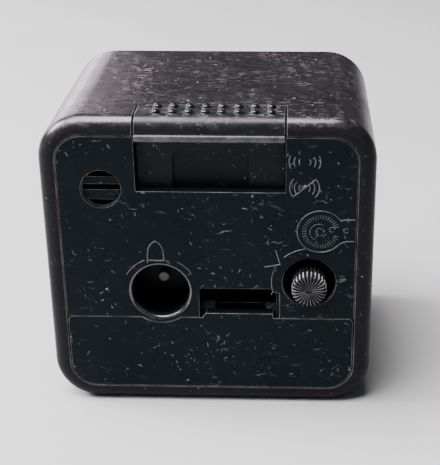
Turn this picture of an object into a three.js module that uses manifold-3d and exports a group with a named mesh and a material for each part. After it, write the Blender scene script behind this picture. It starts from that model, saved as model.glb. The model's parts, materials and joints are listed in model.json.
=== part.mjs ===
// Small quartz travel alarm clock, seen as a bench assembly.
// Frame: millimetres, +Z up, the dial faces -Y and the back with its two
// setting wells faces +Y. Origin: middle of the flat bottom, half way through
// the depth of the case.
import * as THREE from 'three';
import Module from 'manifold-3d';
import { mergeVertices } from 'three/addons/utils/BufferGeometryUtils.js';

const wasm = await Module();
wasm.setup();

// ---------------------------------------------------------------- dimensions
const CASE_W = 62, CASE_H = 59.5, CASE_D = 45;
const CORNER_R = 8.5, EDGE_R = 2.6;          // corner seen from the back, edge rounding
const WALL = 2.2, RIM = 3.4, RIM_T = 4.0;    // side wall, back rim width and thickness
const GAP = 0.3;
const YB = CASE_D / 2, YF = -CASE_D / 2;     // back plane, front plane
const COVER_T = 2.0, COVER_Y = YB - COVER_T;
const DOOR_LINE = 19.1;
const CX = 0, CZ = 29.75;                    // centre of the dial
const KX = -18.9, KZ = 26.8;                 // time setting axis
const AX = 9.35, AZ = 24.6;                  // alarm setting axis
const SW_X0 = -14.25, SW_X1 = 12.95;         // switch, across
const SW_Z0 = 45.35, SW_LIP = 55.0, SW_DEPTH = 7.3, SW_TRAVEL = 3.5;
const BUMP_X0 = 9.2, BUMP_PITCH = 2.99, BUMP_R = 0.75, BUMP_H = 0.6;
const SPK_X = 19.5, SPK_Z = 45.7, SPK_R = 3.73;
const CELL_X = -0.8, CELL_Y = 11.6, CELL_Z = 10.9, CELL_R = 7.25;
// gear modules
const M_SET = 0.452, M_ALARM_SUM = 60, M_CENTRE = 0.3, M_SECOND = 0.53, M_STEP = 0.27;

// ------------------------------------------------------------------ helpers
const root = new THREE.Group();
const solids = new Map();

function solid(geometry) {
  let g = geometry.clone();
  g.deleteAttribute('normal');
  g.deleteAttribute('uv');
  g = mergeVertices(g, 1e-4);
  return new wasm.Manifold(new wasm.Mesh({
    numProp: 3,
    vertProperties: new Float32Array(g.attributes.position.array),
    triVerts: new Uint32Array(g.index.array),
  }));
}
function toGeometry(m) {
  const mesh = m.getMesh();
  const g = new THREE.BufferGeometry();
  const n = mesh.numProp, v = mesh.vertProperties, p = new Float32Array((v.length / n) * 3);
  for (let i = 0; i < v.length / n; i++) for (let k = 0; k < 3; k++) p[i * 3 + k] = v[i * n + k];
  g.setAttribute('position', new THREE.BufferAttribute(p, 3));
  g.setIndex(new THREE.BufferAttribute(new Uint32Array(mesh.triVerts), 1));
  g.computeVertexNormals();
  return g;
}
// outline in (x, z), between two planes of y
function prism(shape, y0, y1, curveSegments = 5) {
  const g = new THREE.ExtrudeGeometry(shape, { depth: y1 - y0, bevelEnabled: false, curveSegments });
  g.rotateX(Math.PI / 2);
  g.translate(0, y1, 0);
  return g;
}
function points(list) { return new THREE.Shape(list.map(([x, z]) => new THREE.Vector2(x, z))); }
function rounded(x0, z0, x1, z1, r) {
  const s = new THREE.Shape();
  const [a, b, c, d] = Array.isArray(r) ? r : [r, r, r, r]; // bottom-left, bottom-right, top-right, top-left
  s.moveTo(x0 + a, z0);
  s.lineTo(x1 - b, z0); if (b) s.absarc(x1 - b, z0 + b, b, -Math.PI / 2, 0, false);
  s.lineTo(x1, z1 - c); if (c) s.absarc(x1 - c, z1 - c, c, 0, Math.PI / 2, false);
  s.lineTo(x0 + d, z1); if (d) s.absarc(x0 + d, z1 - d, d, Math.PI / 2, Math.PI, false);
  s.lineTo(x0, z0 + a); if (a) s.absarc(x0 + a, z0 + a, a, Math.PI, Math.PI * 1.5, false);
  return s;
}
function ringPoints(x, z, r, n, turn = 0) {
  const out = [];
  for (let i = 0; i < n; i++) {
    const t = turn + (i / n) * Math.PI * 2;
    out.push(new THREE.Vector2(x + r * Math.cos(t), z + r * Math.sin(t)));
  }
  return out;
}
// round bar along Y
function rod(x, z, r, y0, y1, n = 16, holeR = 0, holeN = n) {
  const s = new THREE.Shape(ringPoints(x, z, r, n));
  if (holeR) s.holes.push(new THREE.Path(ringPoints(x, z, holeR, holeN).reverse()));
  return prism(s, y0, y1);
}
function block(x0, x1, y0, y1, z0, z1) {
  const g = new THREE.BoxGeometry(x1 - x0, y1 - y0, z1 - z0);
  g.translate((x0 + x1) / 2, (y0 + y1) / 2, (z0 + z1) / 2);
  return g;
}
// round bar along X
function barX(x0, x1, y, z, r, n = 16) {
  const g = new THREE.CylinderGeometry(r, r, x1 - x0, n);
  g.rotateZ(-Math.PI / 2);
  g.translate((x0 + x1) / 2, y, z);
  return g;
}
function join(...list) {
  let m = null;
  for (const g of list) { const s = g.isBufferGeometry ? solid(g) : g; m = m ? m.add(s) : s; }
  return m;
}
function cut(base, ...list) {
  let m = base.isBufferGeometry ? solid(base) : base;
  for (const g of list) m = m.subtract(g.isBufferGeometry ? solid(g) : g);
  return m;
}
function piece(name, shape, color, roughness = 0.5, metalness = 0) {
  const geometry = shape.isBufferGeometry ? toGeometry(solid(shape)) : toGeometry(shape);
  const mesh = new THREE.Mesh(geometry, new THREE.MeshStandardMaterial({ color, roughness, metalness }));
  mesh.name = name;
  root.add(mesh);
  solids.set(name, mesh);
  return mesh;
}

// gear teeth: trapezoids with play, so a pair never binds
const TOOTH = { add: 0.6, ded: 0.8, root: 0.22, tip: 0.09 };
function gearShape(x, z, n, m, phase, holeR = 0, holeN = 10) {
  const r1 = (n / 2 + TOOTH.add) * m, r0 = (n / 2 - TOOTH.ded) * m, p = (2 * Math.PI) / n, out = [];
  for (let k = 0; k < n; k++) {
    const a = phase + k * p;
    for (const [r, h] of [[r0, -TOOTH.root], [r1, -TOOTH.tip], [r1, TOOTH.tip], [r0, TOOTH.root]])
      out.push(new THREE.Vector2(x + r * Math.cos(a + h * p), z + r * Math.sin(a + h * p)));
  }
  const s = new THREE.Shape(out);
  if (holeR) s.holes.push(new THREE.Path(ringPoints(x, z, holeR, holeN).reverse()));
  return s;
}
// the phase that puts gear 2 in mesh with gear 1
function meshPhase(x1, z1, n1, phase1, x2, z2, n2) {
  const alpha = Math.atan2(z2 - z1, x2 - x1), tau = 2 * Math.PI;
  const f1 = ((((alpha - phase1) * n1) / tau) % 1 + 1) % 1;
  const f2 = 0.5 - f1;
  return alpha + Math.PI - (f2 * tau) / n2;
}
function polar(x, z, r, deg) {
  const t = (deg * Math.PI) / 180;
  return [x + r * Math.cos(t), z + r * Math.sin(t)];
}

// ------------------------------------------------------- axes of the movement
const dSet1 = ((10 + 30) * M_SET) / 2, dSet2 = ((15 + 30) * M_SET) / 2;
const dK = Math.hypot(KX - CX, KZ - CZ);
const along = (dSet1 ** 2 - dSet2 ** 2 + dK ** 2) / (2 * dK), side = Math.sqrt(dSet1 ** 2 - along ** 2);
const ux = (KX - CX) / dK, uz = (KZ - CZ) / dK;
const MX = CX + along * ux + side * uz, MZ = CZ + along * uz - side * ux;   // motion wheel
const dA = Math.hypot(AX - CX, AZ - CZ), M_ALARM = (2 * dA) / M_ALARM_SUM;
const dT = ((48 + 6) * M_CENTRE) / 2, M_THIRD = (2 * dT) / 51;
const [TX, TZ] = polar(CX, CZ, dT, 60);                                     // third wheel
const [SX, SZ] = polar(CX, CZ, ((24 + 6) * M_SECOND) / 2, -110);            // step wheel
const [RX, RZ] = polar(SX, SZ, ((45 + 6) * M_STEP) / 2, -170);              // rotor

// ------------------------------------------------------------------- the case
{
  const body = new THREE.ExtrudeGeometry(
    rounded(-CASE_W / 2 + EDGE_R, EDGE_R, CASE_W / 2 - EDGE_R, CASE_H - EDGE_R, CORNER_R - EDGE_R),
    { depth: CASE_D - 2 * EDGE_R, bevelEnabled: true, bevelThickness: EDGE_R, bevelSize: EDGE_R, bevelSegments: 3, curveSegments: 5 });
  body.rotateX(Math.PI / 2);
  body.translate(0, YB - EDGE_R, 0);
  const cavity = prism(rounded(-CASE_W / 2 + WALL, WALL, CASE_W / 2 - WALL, CASE_H - WALL, CORNER_R - WALL), YF + 2, YB - RIM_T);
  const mouth = prism(rounded(-CASE_W / 2 + RIM, RIM, CASE_W / 2 - RIM, CASE_H - RIM, CORNER_R - RIM), YB - RIM_T - 0.5, YB + 1);
  const window = prism(rounded(-25.5, 4.25, 25.5, 55.25, 5), YF - 1, YF + 3);
  const notch = block(SW_X0 - GAP, SW_X1 + GAP, YB - SW_DEPTH - GAP, YB + 1, CASE_H - 6, CASE_H + 1);
  piece('front_case', cut(body, cavity, mouth, window, notch), 0x14171a, 0.42);
}

// window of the dial
piece('lens', join(
  prism(rounded(-25.2, 4.55, 25.2, 54.95, 4.7, 4), YF + 0.4, YF + 2.4, 4),
  prism(rounded(-28.2, 2.8, 28.2, 56.7, 6), YF + 2.3, YF + 3.5, 4)), 0xe8eef0, 0.05);
{
  const s = rounded(-28.2, 2.8, 28.2, 56.7, 6);
  s.holes.push(new THREE.Path(rounded(-25, 4.75, 25, 54.75, 3).getPoints(3).reverse()));
  piece('dial_spacer', prism(s, YF + 3.8, YF + 7.3, 3), 0x101214, 0.6);
}
const DIAL_Y = -14.9;
{
  const s = rounded(-28.2, 2.8, 28.2, 56.7, 6);
  s.holes.push(new THREE.Path(ringPoints(CX, CZ, 2.6, 16).reverse()));
  piece('dial_plate', prism(s, DIAL_Y, DIAL_Y + 0.8, 3), 0x16181b, 0.7);
}

// --------------------------------------------------------------------- hands
function hand(deg, tail, length, wHub, wTip, rHub, hole, y0, y1) {
  const t = (deg * Math.PI) / 180, dx = Math.sin(t), dz = Math.cos(t), nx = dz, nz = -dx;
  const q = (a, b) => new THREE.Vector2(CX + dx * a + nx * b, CZ + dz * a + nz * b);
  const blade = prism(new THREE.Shape([q(-tail, wHub / 2), q(-tail, -wHub / 2), q(length, -wTip / 2), q(length, wTip / 2)].reverse()), y0, y1);
  let g = join(blade, rod(CX, CZ, rHub, y0, y1, 16));
  if (hole) g = cut(g, rod(CX, CZ, hole, y0 - 1, y1 + 1, 12));
  return g;
}
piece('second_hand', hand(215, 6, 20.5, 0.9, 0.5, 1.3, 0, -18.4, -18.0), 0xd9892b, 0.4);
piece('minute_hand', hand(60, 4, 20, 1.9, 1.5, 1.9, 0.65, -17.6, -17.2), 0xe9eaea, 0.35);
piece('hour_hand', hand(305, 3.5, 13, 2.6, 2.1, 2.3, 1.2, -16.8, -16.4), 0xe9eaea, 0.35);
piece('alarm_hand', hand(180, 0.5, 10.5, 1.5, 1.0, 2.9, 1.9, -16.0, -15.6), 0xd9892b, 0.4);

// ------------------------------------------------------------------ movement
const FP0 = -13.8, FP1 = -12.6, MP0 = -8.9, MP1 = -8.1, RP0 = -3.2, RP1 = -2.0;
const PILLARS = [[-22, 9.5], [22, 9.5], [-22, 50.5], [22, 50.5]];
{
  const s = rounded(-24, 6.5, 24, 53.5, 2);
  for (const [x, z, r, n] of [[CX, CZ, 2.6, 16], [KX, KZ, 0.85, 10], [AX, AZ, 0.75, 10]])
    s.holes.push(new THREE.Path(ringPoints(x, z, r, n).reverse()));
  const plate = prism(s, FP0, FP1, 2);
  piece('movement_front_plate', join(plate, ...PILLARS.map(([x, z]) => rod(x, z, 1.7, FP1 - 0.2, RP0 - GAP, 12, 0.85, 8))), 0xd8d6cf, 0.6);
}
{
  const s = rounded(-24, 6.5, 24, 53.5, 2);
  for (const [x, z, r, n] of [[CX, CZ, 0.6, 8], [KX, KZ, 1.6, 12], [AX, AZ, 1.35, 12], [TX, TZ, 0.5, 8], [SX, SZ, 0.5, 8], [RX, RZ, 0.5, 8]])
    s.holes.push(new THREE.Path(ringPoints(x, z, r, n).reverse()));
  for (const [x, z] of PILLARS) s.holes.push(new THREE.Path(ringPoints(x, z, 0.85, 8).reverse()));
  s.holes.push(new THREE.Path(rounded(12.2, 41.5, 15.8, 44.5, 0).getPoints(1).reverse()));
  s.holes.push(new THREE.Path(rounded(-3.5, 9, -0.5, 11, 0).getPoints(1).reverse()));
  piece('movement_rear_plate', prism(s, RP0, RP1, 2), 0xd8d6cf, 0.6);
}
{
  // middle plate, between the motion work and the running train
  const s = rounded(-22.5, 16, 22.5, 48.3, 2);
  for (const [x, z, r, n] of [[CX, CZ, 0.6, 8], [KX, KZ, 1.45, 12], [AX, AZ, 1.3, 12], [TX, TZ, 0.5, 8], [SX, SZ, 0.5, 8], [RX, RZ, 0.5, 8]])
    s.holes.push(new THREE.Path(ringPoints(x, z, r, n).reverse()));
  s.holes.push(new THREE.Path(rounded(12.2, 41.5, 15.8, 44.5, 0).getPoints(1).reverse()));
  piece('movement_middle_plate', join(prism(s, MP0, MP1, 2), rod(MX, MZ, 0.4, -11.0, MP0 + 0.2, 8)), 0xd8d6cf, 0.6);
}
PILLARS.forEach(([x, z], i) => piece(`movement_screw_${i + 1}`, cut(
  join(rod(x, z, 1.6, RP1 + GAP, RP1 + 1.3, 12), rod(x, z, 0.5, -8.5, RP1 + 0.5, 8)),
  block(x - 1.2, x + 1.2, RP1 + 0.9, RP1 + 2, z - 0.2, z + 0.2)), 0xb9bcc0, 0.3, 1));

// running train
const PH_T6 = 0.2;
piece('third_wheel', join(
  prism(gearShape(TX, TZ, 45, M_THIRD, 0), -6.6, -5.9),
  prism(gearShape(TX, TZ, 6, M_CENTRE, PH_T6), -7.9, -6.5),
  rod(TX, TZ, 0.3, -8.8, -2.3, 8)), 0xf1efe6, 0.5);
piece('centre_wheel', prism(gearShape(CX, CZ, 48, M_CENTRE, meshPhase(TX, TZ, 6, PH_T6, CX, CZ, 48), 0.65, 10), -7.8, -7.1), 0xc9a24a, 0.35, 1);
piece('second_wheel', join(
  prism(gearShape(CX, CZ, 24, M_SECOND, 0), -5.5, -4.8),
  prism(gearShape(CX, CZ, 6, M_THIRD, meshPhase(TX, TZ, 45, 0, CX, CZ, 6)), -6.7, -5.4),
  rod(CX, CZ, 0.35, -17.7, -2.3, 8)), 0xf1efe6, 0.5);
piece('step_wheel', join(
  prism(gearShape(SX, SZ, 45, M_STEP, 0), -4.4, -3.7),
  prism(gearShape(SX, SZ, 6, M_SECOND, meshPhase(CX, CZ, 24, 0, SX, SZ, 6)), -5.6, -4.3),
  rod(SX, SZ, 0.3, -8.8, -2.3, 8)), 0xf1efe6, 0.5);
piece('rotor', join(
  rod(RX, RZ, 2.0, -7.2, -5.2, 14),
  prism(gearShape(RX, RZ, 6, M_STEP, meshPhase(SX, SZ, 45, 0, RX, RZ, 6)), -5.3, -3.6),
  rod(RX, RZ, 0.3, -8.8, -2.3, 8)), 0x55585c, 0.4, 0.6);

// setting train, which turns the hour and minute hands
piece('motion_wheel', cut(join(
  prism(gearShape(MX, MZ, 30, M_SET, 0), -10.0, -9.2),
  prism(gearShape(MX, MZ, 8, M_SET, 0), -11.2, -9.9)), rod(MX, MZ, 0.65, -12, -8, 10)), 0xf1efe6, 0.5);
piece('minute_pinion', cut(join(
  prism(gearShape(CX, CZ, 10, M_SET, meshPhase(MX, MZ, 30, 0, CX, CZ, 10)), -10.1, -9.1),
  rod(CX, CZ, 0.85, -16.9, -10.0, 12)), rod(CX, CZ, 0.58, -18, -8, 10)), 0xc9a24a, 0.35, 1);
piece('hour_wheel', cut(join(
  prism(gearShape(CX, CZ, 32, M_SET, meshPhase(MX, MZ, 8, 0, CX, CZ, 32)), -11.1, -10.3),
  rod(CX, CZ, 1.5, -16.1, -11.0, 14)), rod(CX, CZ, 1.12, -18, -8, 14)), 0xf1efe6, 0.5);
piece('time_set_arbor', join(
  prism(gearShape(KX, KZ, 15, M_SET, meshPhase(MX, MZ, 30, 0, KX, KZ, 15)), -10.1, -9.1),
  rod(KX, KZ, 0.6, -13.5, -10.0, 10), rod(KX, KZ, 1.1, -9.2, 19.6, 12)), 0xe6e3da, 0.5);
// alarm train
piece('alarm_wheel', cut(join(
  prism(gearShape(CX, CZ, 48, M_ALARM, 0), -12.2, -11.4),
  rod(CX, CZ, 2.2, -15.3, -12.1, 16)), rod(CX, CZ, 1.8, -18, -8, 16)), 0xf1efe6, 0.5);
piece('alarm_set_arbor', join(
  prism(gearShape(AX, AZ, 12, M_ALARM, meshPhase(CX, CZ, 48, 0, AX, AZ, 12)), -12.3, -11.3),
  rod(AX, AZ, 0.5, -13.5, -12.2, 8), rod(AX, AZ, 0.95, -11.4, 16.4, 12)), 0x9a9d9f, 0.5);

// stepping motor
{
  const s = points([[-20, 9.5], [-16, 9.5], [-16, 18.3], [3.5, 18.3], [3.5, 9.5], [7.5, 9.5], [7.5, 24.4], [-20, 24.4]]);
  s.holes.push(new THREE.Path(ringPoints(RX, RZ, 2.5, 16).reverse()));
  s.holes.push(new THREE.Path(ringPoints(SX, SZ, 0.8, 8).reverse()));
  piece('stator', prism(s, -6.8, -5.9), 0x9b9ea1, 0.4, 1);
}
piece('coil_core', block(-20, 7.5, -8.1, -7.1, 10.5, 13.5), 0x9b9ea1, 0.4, 1);
piece('coil_bobbin', cut(join(
  barX(-14.6, 2.1, -7.6, 12, 2.15, 12), barX(-15.4, -14.5, -7.6, 12, 3.1, 12), barX(2.0, 2.9, -7.6, 12, 3.1, 12)),
  block(-17, 5, -8.4, -6.8, 10.2, 13.8)), 0x2b5a3a, 0.5);
piece('coil_winding', cut(barX(-14.2, 1.7, -7.6, 12, 2.9, 12), barX(-16, 4, -7.6, 12, 2.5, 12)), 0xb5622c, 0.35, 1);

// flat two-way lead from the coil to the board
piece('coil_lead', join(
  block(-2.8, -1.2, -4.2, 0.2, 9.7, 10.1),
  block(-2.8, -1.2, -0.2, 0.2, 9.7, 33.4),
  block(-2.8, -1.2, -0.2, 9.9, 33.0, 33.4)), 0xb06a2e, 0.5);
piece('alarm_contact_spring', join(
  prism(points([[4.6, 33.2], [5.4, 32.6], [15.4, 42.2], [14.6, 43.2], [13.2, 43.2]]), -9.8, -9.6),
  block(13.2, 14.8, -9.8, 8.7, 42.6, 43.2)), 0xc9a24a, 0.35, 1);

// --------------------------------------------------------- electronics, cell
const PCB0 = 9.0, PCB1 = 10.2;
piece('circuit_board', prism(rounded(-22.5, 34, 8.5, 54, 0.8), PCB0, PCB1, 2), 0x1f5a36, 0.5);
piece('chip_cover', (() => {
  const g = new THREE.LatheGeometry([new THREE.Vector2(0, 0), new THREE.Vector2(3.2, 0), new THREE.Vector2(2.8, 0.7), new THREE.Vector2(1.6, 1.2), new THREE.Vector2(0, 1.35)], 12);
  g.translate(-12, PCB1 + GAP, 46);
  return g;
})(), 0x0b0b0c, 0.4);
piece('quartz_crystal', barX(-19, -12.8, PCB1 + GAP + 1.05, 38.5, 1.0, 10), 0xc7cacc, 0.25, 1);
piece('buzzer', join(rod(SPK_X, SPK_Z, 5.1, 16.6, 19.6, 20), rod(SPK_X, SPK_Z, 4.3, 13.6, 16.7, 20)), 0x17181a, 0.5);
piece('switch_contact', prism((() => {
  // bent strip seen along X, made in the (x, z) outline and turned below
  const s = points([[0, 0], [2.4, 0], [7.9, 2.6], [7.9, 3.0], [2.3, 0.4], [0, 0.4]]);
  return s;
})(), 0, 2.2).rotateZ(Math.PI / 2).translate(1.4, PCB1 + GAP, 36.6), 0xc9a24a, 0.35, 1);

piece('battery_cell', join(
  barX(CELL_X - 24.25, CELL_X + 25.25, CELL_Y, CELL_Z, CELL_R, 20),
  barX(CELL_X - 25.25, CELL_X - 24, CELL_Y, CELL_Z, 2.7, 12)), 0x8a8f94, 0.35, 0.6);
piece('battery_tray', cut(join(
  block(-25.5, 25.5, 3.2, 4.0, 3.3, 18.9),
  block(-25.5, 25.5, 3.2, 12.6, 18.3, 18.9),
  block(-16, -14.8, 3.6, 14, 2.6, 6.5), block(14.8, 16, 3.6, 14, 2.6, 6.5)),
  barX(-27, 27, CELL_Y, CELL_Z, CELL_R + 0.4, 20)), 0x1a1c1e, 0.55);
piece('positive_contact', join(
  block(-26.8, -26.4, 7.6, 15.6, 7, 15),
  block(-26.8, -26.4, 8.8, 10.4, 14.8, 36),
  block(-26.8, -22.9, 9.0, 10.2, 35.6, 36)), 0xc7cacc, 0.3, 1);
{
  const pts = [];
  for (let i = 0; i <= 30; i++) {
    const t = (i / 30) * Math.PI * 2 * 2.5, r = 2.3 + 1.6 * (i / 30);
    pts.push(new THREE.Vector3(24.95 + 1.9 * (i / 30), CELL_Y + r * Math.cos(t), CELL_Z + r * Math.sin(t)));
  }
  const wire = new THREE.Shape(ringPoints(0, 0, 0.27, 6));
  const coil = new THREE.ExtrudeGeometry(wire, { steps: 30, bevelEnabled: false, extrudePath: new THREE.CatmullRomCurve3(pts) });
  piece('negative_contact_spring', coil, 0xc7cacc, 0.3, 1);
}
piece('negative_contact_plate', join(
  block(27.5, 27.9, 7.0, 16.2, 6.3, 15.5),
  block(27.5, 27.9, 8.8, 10.4, 15.3, 36),
  block(8.8, 27.9, 9.2, 10.0, 35.6, 36)), 0xc7cacc, 0.3, 1);

// ---------------------------------------------------------------- back cover
{
  const x1 = CASE_W / 2 - RIM - GAP, top = CASE_H - RIM - GAP, r = CORNER_R - RIM - GAP;
  const panel = prism(rounded(-x1, DOOR_LINE + 0.15, x1, top, [0, 0, r, r]), COVER_Y, YB, 5);
  const wells = [
    rod(AX, AZ, 6.4, 13.6, YB, 24), rod(KX, KZ, 6.2, 13.6, YB, 24),
  ];
  const pocket = block(-14.3, 3.0, 15.6, COVER_Y + 0.2, DOOR_LINE + 0.6, 26.4);
  const hooks = [];
  for (const s of [-1, 1]) {
    hooks.push(block(s > 0 ? 25.6 : -27.1, s > 0 ? 27.1 : -25.6, 16.6, COVER_Y + 0.2, 31, 35.2));
    hooks.push(block(s > 0 ? 27.0 : -28.3, s > 0 ? 28.3 : -27.0, 16.6, 18.1, 31, 35.2));
  }
  for (const x of [-22.4, 19.4]) {
    hooks.push(block(x, x + 3, 16.6, COVER_Y + 0.2, 54.0, 55.5));
    hooks.push(block(x, x + 3, 16.6, 18.1, 55.4, 56.9));
  }
  const ribs = [block(-24.9, -23.5, RP1 + GAP, COVER_Y + 0.2, 38.5, 42.5), block(23.2, 24.6, RP1 + GAP, COVER_Y + 0.2, 28, 32)];
  const posts = [rod(-19.5, 51.3, 1.3, PCB1 + GAP, COVER_Y + 0.2, 10), rod(5.5, 37.2, 1.3, PCB1 + GAP, COVER_Y + 0.2, 10)];
  const holes = [
    rod(AX, AZ, 5.4, 14.8, YB - 0.6, 24),
    rod(KX, KZ, 4.9, 14.8, YB - 0.6, 24),
    rod(AX, AZ, 1.35, 12, 16, 10), rod(KX, KZ, 1.5, 12, 16, 12),
    block(-13.3, 2.0, 16.6, YB + 1, DOOR_LINE - 2, 25.4),
    block(SW_X0 - GAP, SW_X1 + GAP, COVER_Y - 1, YB + 1, SW_Z0, CASE_H),
    rod(SPK_X, SPK_Z, SPK_R, YB - 1.2, YB + 1, 24),
  ];
  for (const z of [SPK_Z + 1.9, SPK_Z, SPK_Z - 1.9]) holes.push(block(SPK_X - 2.6, SPK_X + 2.6, COVER_Y - 1, YB + 1, z - 0.35, z + 0.35));
  // bevelled lips of the wells
  for (const [x, z, r] of [[AX, AZ, 5.4], [KX, KZ, 4.9]]) {
    const g = new THREE.CylinderGeometry(r + 0.95, r, 0.9, 24);
    g.translate(x, YB - 0.35, z);
    holes.push(g);
  }
  piece('rear_cover', cut(join(panel, ...wells, pocket, ...hooks, ...ribs, ...posts), ...holes), 0x11181c, 0.5);
}

// -------------------------------------------------------------- battery door
{
  const x1 = CASE_W / 2 - RIM - GAP, r = CORNER_R - RIM - GAP, zb = RIM + GAP, zt = DOOR_LINE - 0.15;
  const tab = points([[-12.1, zt - 0.5], [1.3, zt - 0.5], [1.3, zt + 0.45], [0.85, zt + 0.95], [-12.1, zt + 0.95]]);
  piece('battery_door', cut(join(
    prism(rounded(-x1, zb, x1, zt, [r, r, 0, 0]), COVER_Y, YB, 5),
    prism(tab, COVER_Y, YB),
    block(-10.6, -0.8, 18.2, 19.4, 14, zt + 1.7), block(-10.6, -0.8, 18.2, COVER_Y + 0.2, 14, 15.2),
    ...[-18, 18].flatMap((x) => [block(x - 2.5, x + 2.5, 17.9, COVER_Y + 0.2, 4.3, 5.4), block(x - 2.5, x + 2.5, 17.2, 18.1, 2.7, 5.4)])),
    rod(AX, AZ, 6.7, COVER_Y - 1, YB + 1, 32)), 0x11181c, 0.5);
}

// -------------------------------------------------------------- alarm switch
{
  const cap = new THREE.ExtrudeGeometry(
    (() => {
      // profile in (depth from the back plane, z), the same rounding as the case
      const s = new THREE.Shape();
      const H = CASE_H, L = SW_LIP;
      s.moveTo(2.3, 40.6); s.lineTo(3.9, 40.6); s.lineTo(3.9, H - 5.2); s.lineTo(3.9, H - 2.4);
      s.lineTo(SW_DEPTH, H - 2.4); s.lineTo(SW_DEPTH, H); s.lineTo(EDGE_R, H);
      s.absarc(EDGE_R, H - EDGE_R, EDGE_R, Math.PI / 2, Math.PI, false);
      s.lineTo(0, L + 0.4); s.lineTo(0.4, L); s.lineTo(2.3, L); s.lineTo(2.3, 40.6);
      return s;
    })(), { depth: SW_X1 - SW_X0, bevelEnabled: false, curveSegments: 4 });
  // (depth, z, along) to (x, y, z): depth runs to -Y from the back plane, along runs to +X
  const m = new THREE.Matrix4().set(0, 0, 1, SW_X0, -1, 0, 0, YB, 0, 1, 0, 0, 0, 0, 0, 1);
  cap.applyMatrix4(m);
  const flip = m.determinant() < 0;
  if (flip) { const ix = cap.index; if (!ix) { const p = cap.attributes.position; for (let i = 0; i < p.count; i += 3) { const a = [p.getX(i), p.getY(i), p.getZ(i)]; p.setXYZ(i, p.getX(i + 2), p.getY(i + 2), p.getZ(i + 2)); p.setXYZ(i + 2, ...a); } } }
  const bumps = [];
  for (let row = 0; row < 2; row++) for (let i = 0; i < 8; i++) {
    const g = new THREE.SphereGeometry(BUMP_R + 0.12, 8, 4);
    g.scale(1, 1, 0.82);
    g.rotateX(Math.PI / 2);
    g.translate(BUMP_X0 - i * BUMP_PITCH, YB - 3.4 - row * BUMP_PITCH, CASE_H - 0.12);
    bumps.push(g);
  }
  let s = join(cap, ...bumps);
  s = cut(s, block(-7.6, 6.4, YB - 3.1, YB + 1, 40, 52.7));
  piece('alarm_switch', s, 0x14171a, 0.42);
}
// small leaf that holds the switch up or down
piece('switch_detent_spring', join(
  block(13.6, 14.0, 14.9, 18.3, 40.5, 53.5), block(13.3, 13.7, 15.6, 18.3, 46.3, 47.5)), 0xc7cacc, 0.3, 1);

// ------------------------------------------------------------ the time knob
{
  const star = (r, n, depth) => {
    const out = [];
    for (let i = 0; i < n * 2; i++) {
      const t = (i / (n * 2)) * Math.PI * 2, q = i % 2 ? r - depth : r;
      out.push(new THREE.Vector2(KX + q * Math.cos(t), KZ + q * Math.sin(t)));
    }
    return new THREE.Shape(out);
  };
  piece('time_set_knob', cut(join(prism(star(3.3, 26, 0.3), 16.4, YB + 3.1), prism(star(2.7, 26, 0.25), YB + 3.0, YB + 3.5)),
    rod(KX, KZ, 1.45, 14, 20.1, 12)), 0x101214, 0.45);
}

export default root;
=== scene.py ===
import bpy, bmesh, math, json
from mathutils import Vector, Matrix


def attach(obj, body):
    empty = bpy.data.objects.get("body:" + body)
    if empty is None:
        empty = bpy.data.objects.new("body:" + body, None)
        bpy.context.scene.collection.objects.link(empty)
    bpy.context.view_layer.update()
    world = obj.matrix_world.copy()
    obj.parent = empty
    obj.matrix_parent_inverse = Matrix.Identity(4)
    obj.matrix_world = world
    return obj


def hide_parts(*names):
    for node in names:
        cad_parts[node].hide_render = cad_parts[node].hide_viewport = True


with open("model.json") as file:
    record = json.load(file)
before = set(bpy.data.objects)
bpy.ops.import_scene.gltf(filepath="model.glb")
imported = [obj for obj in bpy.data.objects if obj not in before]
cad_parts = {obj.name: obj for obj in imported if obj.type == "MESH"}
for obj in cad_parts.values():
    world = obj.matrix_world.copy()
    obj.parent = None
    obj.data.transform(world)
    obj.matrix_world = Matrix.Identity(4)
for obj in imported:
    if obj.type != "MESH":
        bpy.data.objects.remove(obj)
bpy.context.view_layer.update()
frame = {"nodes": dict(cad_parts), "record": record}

MM = 0.001
scene = bpy.context.scene

# ------------------------------------------------ sizes, as in the CAD frame
W, H, D, R, ER = 62.0, 59.5, 45.0, 8.5, 2.6
RIM, RIM_T, WALL, GAP = 3.4, 4.0, 2.2, 0.3
YB, YF, CT = 22.5, -22.5, 2.0
CY = YB - CT
LINE = 19.1
CX, CZ = 0.0, 29.75
KX, KZ = -18.9, 26.8
AX, AZ = 9.35, 24.6
SW0, SW1, SWZ, LIP, SWD = -14.25, 12.95, 45.35, 55.0, 7.3
SPX, SPZ, SPR = 19.5, 45.7, 3.73


# ---------------------------------------------------------------- mesh tools
def new_object(name, verts, faces):
    me = bpy.data.meshes.new(name)
    me.from_pydata([tuple(c * MM for c in v) for v in verts], [], faces)
    me.update()
    o = bpy.data.objects.new(name, me)
    scene.collection.objects.link(o)
    return o


def fix_normals(o):
    bm = bmesh.new(); bm.from_mesh(o.data)
    bmesh.ops.remove_doubles(bm, verts=bm.verts, dist=1e-7)
    bmesh.ops.recalc_face_normals(bm, faces=bm.faces)
    bm.to_mesh(o.data); bm.free(); o.data.update()
    return o


def arc(cx, cz, r, a0, a1, n):
    return [(cx + r * math.cos(math.radians(a0 + (a1 - a0) * i / n)), cz + r * math.sin(math.radians(a0 + (a1 - a0) * i / n))) for i in range(n + 1)]


def rounded(x0, z0, x1, z1, r, n=12):
    a, b, c, d = r if isinstance(r, (list, tuple)) else (r, r, r, r)
    out = []
    for cx, cz, q, s in ((x1 - b, z0 + b, b, -90), (x1 - c, z1 - c, c, 0), (x0 + d, z1 - d, d, 90), (x0 + a, z0 + a, a, 180)):
        out += arc(cx, cz, q, s, s + 90, n) if q > 0 else [(cx, cz)]
    return out


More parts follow.
